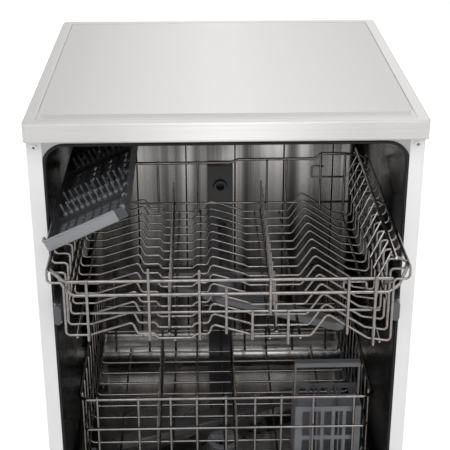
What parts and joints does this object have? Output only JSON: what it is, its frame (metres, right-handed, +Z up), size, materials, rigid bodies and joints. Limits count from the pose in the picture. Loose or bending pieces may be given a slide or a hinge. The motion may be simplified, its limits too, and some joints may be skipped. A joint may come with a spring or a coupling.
{
  "type": "dishwasher",
  "caption": "Free-standing front-loading dishwasher with a drop-down door, two sliding wire baskets, spray arms, a folding cup rack and a utensil tray.",
  "frame": {"origin": "centre of the footprint of the open machine, on the floor", "axes": "+Z up, +Y into the cabinet away from the user, +X to the right as seen from the front"},
  "size_m": [0.6, 1.266, 0.85],
  "materials": {
    "white_panel": "smooth white enamel",
    "worktop_plastic": "satin silver white",
    "worktop_laminate": "fine grained laminate",
    "tub_steel": "bright annealed sheet",
    "steel": "satin",
    "seal_rubber": "matt",
    "base_plastic": "moulded, matt",
    "plinth_paint": "smooth white enamel",
    "grey_plastic": "moulded, satin",
    "light_grey_plastic": "moulded, satin",
    "dark_grey_plastic": "moulded, satin",
    "coated_wire": "satin grey nylon coat",
    "white_plastic": "smooth",
    "rail_steel": "rolled, bright",
    "pump_black": "moulded, matt"
  },
  "bodies": {
    "cabinet": {"side_panel_left": "white_panel", "side_panel_right": "white_panel", "post_screws": "steel", "rear_panel": "steel", "worktop_frame": "worktop_plastic", "worktop_board": "worktop_laminate", "tub": "tub_steel", "door_seals": "seal_rubber", "latch_striker": "steel", "base_tray": "base_plastic", "plinth": "plinth_paint", "hinge_brackets": "steel", "door_springs": "steel", "sump": "dark_grey_plastic", "filter_plate": "steel", "circulation_pump": "pump_black", "drain_pump": "pump_black", "salt_container": "light_grey_plastic", "inlet_valve": "white_plastic", "drain_connector": "dark_grey_plastic", "cable_inlet": "base_plastic", "water_duct": "dark_grey_plastic", "rail_carriers": "light_grey_plastic"},
    "door": {"door_outer_panel": "white_panel", "door_liner": "tub_steel", "control_fascia": "white_plastic", "door_latch": "steel", "hinge_arms": "steel", "dispenser_body": "light_grey_plastic"},
    "dispenser_lid": {"dispenser_lid": "grey_plastic"},
    "rinse_cap": {"rinse_aid_cap": "grey_plastic"},
    "power_button": {"power_button": "light_grey_plastic"},
    "programme_button": {"programme_button": "light_grey_plastic"},
    "start_button": {"start_button": "light_grey_plastic"},
    "runner_rails": {"upper_rails": "rail_steel", "rail_caps": "grey_plastic"},
    "upper_rack": {"upper_basket": "coated_wire", "roller_brackets": "grey_plastic", "upper_feed_pipe": "dark_grey_plastic"},
    "upper_arm": {"upper_spray_arm": "grey_plastic"},
    "utensil_tray": {"utensil_tray": "grey_plastic"},
    "cup_rack": {"cup_rack": "coated_wire"},
    "upper_tines_left": {"upper_tines_left": "coated_wire"},
    "upper_tines_right": {"upper_tines_right": "coated_wire"},
    "rollers_front": {"basket_rollers_front": "grey_plastic"},
    "rollers_rear": {"basket_rollers_rear": "grey_plastic"},
    "lower_rack": {"lower_basket": "coated_wire", "wheel_carriers": "grey_plastic"},
    "lower_tines_left": {"lower_tines_left": "coated_wire"},
    "lower_tines_right": {"lower_tines_right": "coated_wire"},
    "wheels_front": {"wheels_front": "grey_plastic"},
    "wheels_rear": {"wheels_rear": "grey_plastic"},
    "cutlery_basket": {"cutlery_basket": "grey_plastic"},
    "lower_arm": {"lower_spray_arm": "grey_plastic"},
    "filter_cup": {"filter_cup": "light_grey_plastic"},
    "salt_cap": {"salt_cap": "white_plastic"},
    "foot_front_left": {"foot_front_left": "base_plastic"},
    "foot_front_right": {"foot_front_right": "base_plastic"},
    "foot_rear_left": {"foot_rear_left": "base_plastic"},
    "foot_rear_right": {"foot_rear_right": "base_plastic"}
  },
  "joints": [
    {"name": "door_hinge", "type": "hinge", "parent": "cabinet", "child": "door", "pos_m": [0, 0.072, 0.112], "axis": [-1, 0, 0], "range_deg": [0, 90]},
    {"name": "dispenser_slide", "type": "slide", "parent": "door", "child": "dispenser_lid", "axis": [0, -1, 0], "range_m": [0, 0.038]},
    {"name": "rinse_cap_turn", "type": "hinge", "parent": "door", "child": "rinse_cap", "pos_m": [0, -0.296, 0.125], "axis": [0, 0, 1], "range_deg": [0, 90]},
    {"name": "power_button_press", "type": "slide", "parent": "door", "child": "power_button", "axis": [0, 0, 1], "range_m": [0, 0.0015], "stiffness_N_per_m": 600, "springref_m": -0.0015},
    {"name": "programme_button_press", "type": "slide", "parent": "door", "child": "programme_button", "axis": [0, 0, 1], "range_m": [0, 0.0015], "stiffness_N_per_m": 600, "springref_m": -0.0015},
    {"name": "start_button_press", "type": "slide", "parent": "door", "child": "start_button", "axis": [0, 0, 1], "range_m": [0, 0.0015], "stiffness_N_per_m": 600, "springref_m": -0.0015},
    {"name": "rail_slide", "type": "slide", "parent": "cabinet", "child": "runner_rails", "axis": [0, 1, 0], "range_m": [0, 0.1801]},
    {"name": "upper_rack_slide", "type": "slide", "parent": "runner_rails", "child": "upper_rack", "axis": [0, 1, 0], "range_m": [-0.23, 0]},
    {"name": "upper_arm_spin", "type": "hinge", "parent": "upper_rack", "child": "upper_arm", "pos_m": [0, 0.148, 0.506], "axis": [0, 0, 1], "continuous": true},
    {"name": "tray_tip", "type": "hinge", "parent": "upper_rack", "child": "utensil_tray", "pos_m": [-0.264, 0.173, 0.672], "axis": [0, -1, 0], "range_deg": [-25, 15]},
    {"name": "cup_rack_fold", "type": "hinge", "parent": "upper_rack", "child": "cup_rack", "pos_m": [0.24, 0.146, 0.681], "axis": [0, 1, 0], "range_deg": [0, 150]},
    {"name": "upper_left_fold", "type": "hinge", "parent": "upper_rack", "child": "upper_tines_left", "pos_m": [-0.088, 0.148, 0.5618], "axis": [0, -1, 0], "range_deg": [0, 90]},
    {"name": "upper_right_fold", "type": "hinge", "parent": "upper_rack", "child": "upper_tines_right", "pos_m": [0.07, 0.148, 0.5628], "axis": [0, 1, 0], "range_deg": [0, 90]},
    {"name": "rollers_front_turn", "type": "hinge", "parent": "upper_rack", "child": "rollers_front", "pos_m": [0, 0.285, 0.535], "axis": [1, 0, 0], "continuous": true},
    {"name": "rollers_rear_turn", "type": "hinge", "parent": "upper_rack", "child": "rollers_rear", "pos_m": [0, 0.345, 0.535], "axis": [1, 0, 0], "continuous": true},
    {"name": "lower_rack_slide", "type": "slide", "parent": "cabinet", "child": "lower_rack", "axis": [0, 1, 0], "range_m": [-0.5, 0]},
    {"name": "lower_left_fold", "type": "hinge", "parent": "lower_rack", "child": "lower_tines_left", "pos_m": [-0.12, 0.32, 0.1768], "axis": [0, -1, 0], "range_deg": [0, 90]},
    {"name": "lower_right_fold", "type": "hinge", "parent": "lower_rack", "child": "lower_tines_right", "pos_m": [0.02, 0.32, 0.1768], "axis": [0, 1, 0], "range_deg": [0, 90]},
    {"name": "wheels_front_turn", "type": "hinge", "parent": "lower_rack", "child": "wheels_front", "pos_m": [0, 0.18, 0.1413], "axis": [1, 0, 0], "continuous": true},
    {"name": "wheels_rear_turn", "type": "hinge", "parent": "lower_rack", "child": "wheels_rear", "pos_m": [0, 0.48, 0.1413], "axis": [1, 0, 0], "continuous": true},
    {"name": "cutlery_lift", "type": "slide", "parent": "lower_rack", "child": "cutlery_basket", "axis": [0, 0, 1], "range_m": [0, 0.1]},
    {"name": "lower_arm_spin", "type": "hinge", "parent": "cabinet", "child": "lower_arm", "pos_m": [0, 0.325, 0.152], "axis": [0, 0, 1], "continuous": true},
    {"name": "filter_twist", "type": "hinge", "parent": "cabinet", "child": "filter_cup", "pos_m": [0, 0.277, 0.125], "axis": [0, 0, 1], "range_deg": [0, 90]},
    {"name": "salt_cap_turn", "type": "hinge", "parent": "cabinet", "child": "salt_cap", "pos_m": [-0.165, 0.2, 0.126], "axis": [0, 0, 1], "continuous": true},
    {"name": "foot_front_left_screw", "type": "slide", "parent": "cabinet", "child": "foot_front_left", "axis": [0, 0, -1], "range_m": [0, 0.045]},
    {"name": "foot_front_right_screw", "type": "slide", "parent": "cabinet", "child": "foot_front_right", "axis": [0, 0, -1], "range_m": [0, 0.045]},
    {"name": "foot_rear_left_screw", "type": "slide", "parent": "cabinet", "child": "foot_rear_left", "axis": [0, 0, -1], "range_m": [0, 0.045]},
    {"name": "foot_rear_right_screw", "type": "slide", "parent": "cabinet", "child": "foot_rear_right", "axis": [0, 0, -1], "range_m": [0, 0.045]}
  ],
  "couplings": [
    {"joint": "rail_slide", "follows": "door_hinge", "m_per_rad": 0.11459}
  ]
}
